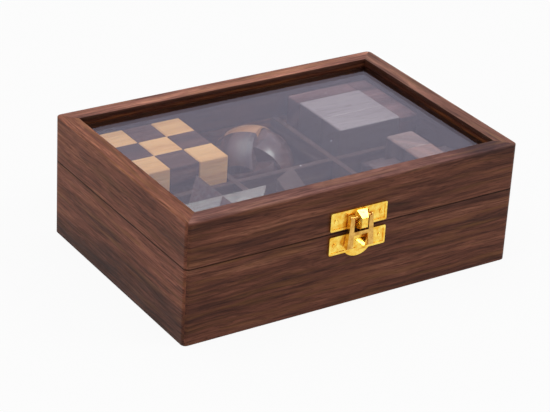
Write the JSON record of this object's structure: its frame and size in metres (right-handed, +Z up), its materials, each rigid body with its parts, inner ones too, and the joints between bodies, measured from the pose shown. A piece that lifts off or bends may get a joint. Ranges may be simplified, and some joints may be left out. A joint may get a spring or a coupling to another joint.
{
  "type": "puzzle set in wooden box",
  "caption": "Dark wooden case with a hinged glass lid, brass hasp and a divided tray that holds a snake cube, ball, block cube, star, mitred bars and burr.",
  "frame": {"origin": "middle of the underside of the case", "axes": "+X along the length to the right, +Y from the hasp at the front to the hinges at the back, +Z up"},
  "size_m": [0.175, 0.1279, 0.06],
  "materials": {
    "dark_wood": "oiled satin sheesham",
    "puzzle_dark_wood": "oiled satin sheesham",
    "light_wood": "sanded pale hardwood",
    "plywood": "stained plywood",
    "brass": "polished",
    "glass": "clear float glass",
    "elastic": "plain elastic"
  },
  "bodies": {
    "base": {"base_panel_front": "dark_wood", "base_panel_back": "dark_wood", "base_panel_left": "dark_wood", "base_panel_right": "dark_wood", "floor_panel": "plywood", "divider_long": "dark_wood", "divider_left": "dark_wood", "divider_right": "dark_wood", "hinge_leaf_base_left": "brass", "hinge_leaf_base_right": "brass", "hinge_pin_left": "brass", "hinge_pin_right": "brass", "latch_plate_base": "brass", "nails_base": "brass"},
    "lid": {"lid_rail_front": "dark_wood", "lid_rail_back": "dark_wood", "lid_rail_left": "dark_wood", "lid_rail_right": "dark_wood", "glass_bead_front": "dark_wood", "glass_bead_back": "dark_wood", "glass_bead_left": "dark_wood", "glass_bead_right": "dark_wood", "glass_pane": "glass", "hinge_leaf_lid_left": "brass", "hinge_leaf_lid_right": "brass", "latch_plate_lid": "brass", "hasp_pin": "brass", "nails_lid": "brass"},
    "hasp": {"hasp": "brass"},
    "puzzle_snake": {"snake_cubes_light": "light_wood", "snake_cubes_dark": "puzzle_dark_wood", "snake_elastic": "elastic"},
    "puzzle_ball": {"ball_x_a": "puzzle_dark_wood", "ball_x_b": "puzzle_dark_wood", "ball_y_a": "puzzle_dark_wood", "ball_y_b": "puzzle_dark_wood", "ball_z_a": "light_wood", "ball_z_b": "puzzle_dark_wood"},
    "puzzle_block": {"block_lower_front": "puzzle_dark_wood", "block_lower_back": "puzzle_dark_wood", "block_plate_front": "light_wood", "block_plate_back": "light_wood", "block_side": "puzzle_dark_wood", "block_rear": "puzzle_dark_wood"},
    "puzzle_star": {"star_x_a": "puzzle_dark_wood", "star_x_b": "puzzle_dark_wood", "star_y_a": "puzzle_dark_wood", "star_y_b": "puzzle_dark_wood", "star_z_a": "puzzle_dark_wood", "star_z_b": "puzzle_dark_wood"},
    "puzzle_bars": {"bars_bottom": "puzzle_dark_wood", "bars_lower": "puzzle_dark_wood", "bars_upper": "puzzle_dark_wood", "bars_top": "puzzle_dark_wood"},
    "puzzle_burr": {"burr_x_a": "puzzle_dark_wood", "burr_x_b": "puzzle_dark_wood", "burr_y_a": "puzzle_dark_wood", "burr_y_b": "puzzle_dark_wood", "burr_z_a": "puzzle_dark_wood", "burr_z_b": "puzzle_dark_wood"}
  },
  "joints": [
    {"name": "lid_hinge", "type": "hinge", "parent": "base", "child": "lid", "pos_m": [0, 0.0616, 0.03745], "axis": [-1, 0, 0], "range_deg": [0, 100]},
    {"name": "hasp_hinge", "type": "hinge", "parent": "lid", "child": "hasp", "pos_m": [0, -0.0623, 0.0443], "axis": [-1, 0, 0], "range_deg": [0, 150]},
    {"name": "snake_lift", "type": "slide", "parent": "base", "child": "puzzle_snake", "axis": [0, 0, 1], "range_m": [0, 0.004]},
    {"name": "ball_lift", "type": "slide", "parent": "base", "child": "puzzle_ball", "axis": [0, 0, 1], "range_m": [0, 0.004]},
    {"name": "block_lift", "type": "slide", "parent": "base", "child": "puzzle_block", "axis": [0, 0, 1], "range_m": [0, 0.004]},
    {"name": "star_lift", "type": "slide", "parent": "base", "child": "puzzle_star", "axis": [0, 0, 1], "range_m": [0, 0.004]},
    {"name": "bars_lift", "type": "slide", "parent": "base", "child": "puzzle_bars", "axis": [0, 0, 1], "range_m": [0, 0.004]},
    {"name": "burr_lift", "type": "slide", "parent": "base", "child": "puzzle_burr", "axis": [0, 0, 1], "range_m": [0, 0.004]}
  ]
}
